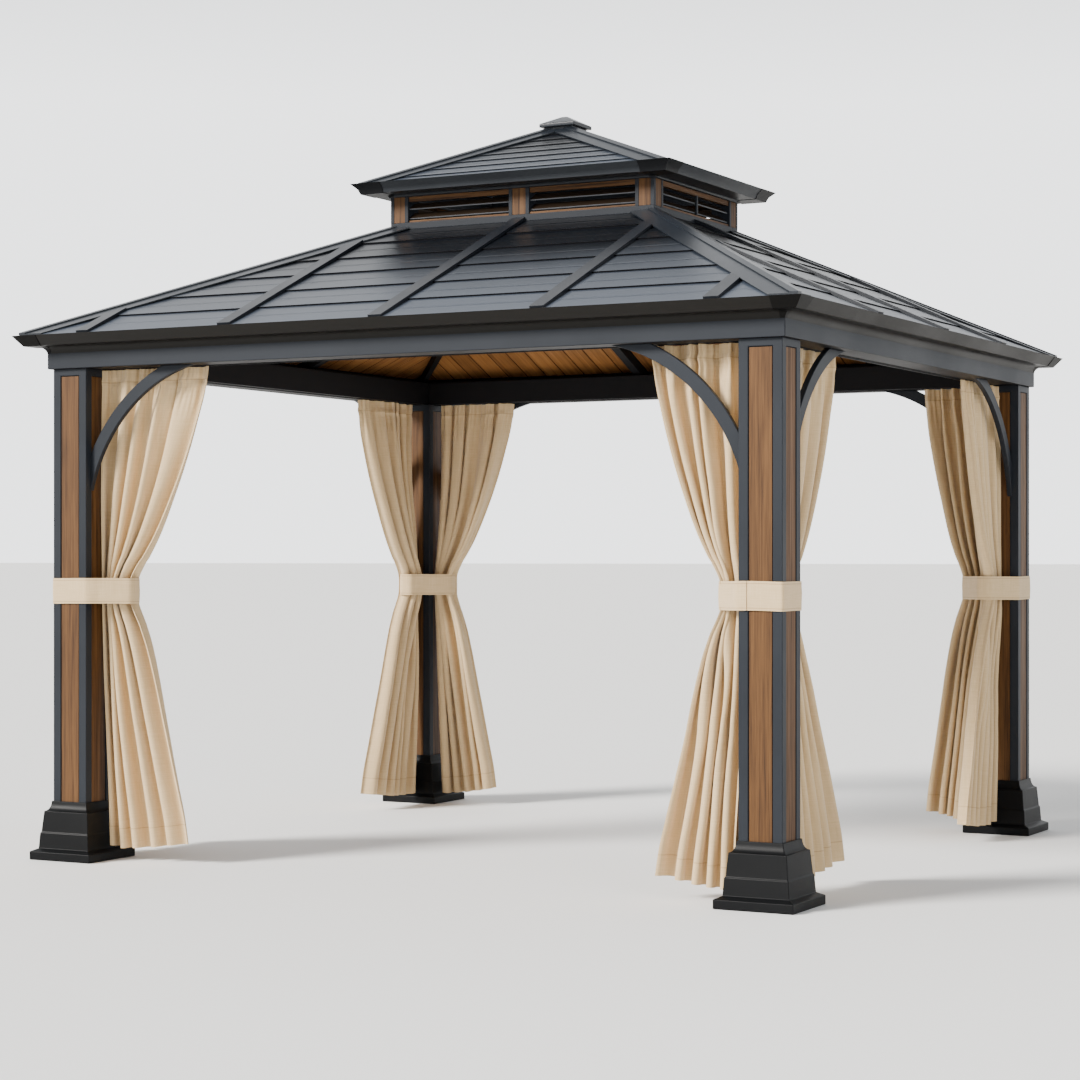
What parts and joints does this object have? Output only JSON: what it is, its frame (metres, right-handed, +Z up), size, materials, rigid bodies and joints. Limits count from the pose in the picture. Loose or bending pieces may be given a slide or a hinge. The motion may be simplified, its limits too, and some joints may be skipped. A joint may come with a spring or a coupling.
{
  "type": "hardtop gazebo",
  "caption": "Rectangular metal gazebo: wood-panelled posts on plinths, beam ring with curved braces, lapped hip roof with a louvred cupola, tied-back curtains.",
  "frame": {"origin": "on the ground, midway between the four posts", "axes": "+X along the front to the right, +Y from the front to the back, +Z up"},
  "size_m": [3.605, 3.285, 3.265],
  "materials": {
    "frame_metal": "satin charcoal powder coat",
    "plinth_metal": "satin dark charcoal powder coat",
    "gutter_metal": "satin brown-charcoal powder coat",
    "roof_metal": "satin blue-black coated steel",
    "dark_metal": "matt near-black powder coat",
    "wood_panel": "wood-grain finish, vertical grain",
    "ceiling_wood": "wood-grain boards running up the slope",
    "curtain_fabric": "beige woven cloth"
  },
  "bodies": {
    "root": {"post_front_right": "frame_metal", "post_front_left": "frame_metal", "post_back_left": "frame_metal", "post_back_right": "frame_metal", "post_panels": "wood_panel", "plinths": "plinth_metal", "beam_front": "frame_metal", "beam_right": "frame_metal", "beam_back": "frame_metal", "beam_left": "frame_metal", "curtain_tracks": "dark_metal", "braces_front": "frame_metal", "braces_right": "frame_metal", "braces_back": "frame_metal", "braces_left": "frame_metal", "eave_gutters": "gutter_metal", "gutter_corners": "gutter_metal", "roof_front": "roof_metal", "roof_right": "roof_metal", "roof_back": "roof_metal", "roof_left": "roof_metal", "roof_ribs": "roof_metal", "hip_caps": "roof_metal", "ceiling": "ceiling_wood", "rafters": "dark_metal", "hip_rafters": "dark_metal", "crown_frame": "dark_metal", "cupola_sills": "frame_metal", "cupola_posts": "frame_metal", "cupola_boards": "wood_panel", "cupola_louvres": "dark_metal", "cupola_frieze": "frame_metal", "cupola_gutters": "gutter_metal", "cupola_gutter_corners": "gutter_metal", "cupola_roof": "roof_metal", "cupola_hip_caps": "roof_metal", "finial_cap": "roof_metal", "curtain_front_right": "curtain_fabric", "curtain_front_left": "curtain_fabric", "curtain_back_left": "curtain_fabric", "curtain_back_right": "curtain_fabric", "curtain_right_front": "curtain_fabric", "curtain_left_front": "curtain_fabric", "curtain_left_back": "curtain_fabric", "curtain_right_back": "curtain_fabric", "tiebacks": "curtain_fabric"}
  },
  "joints": []
}
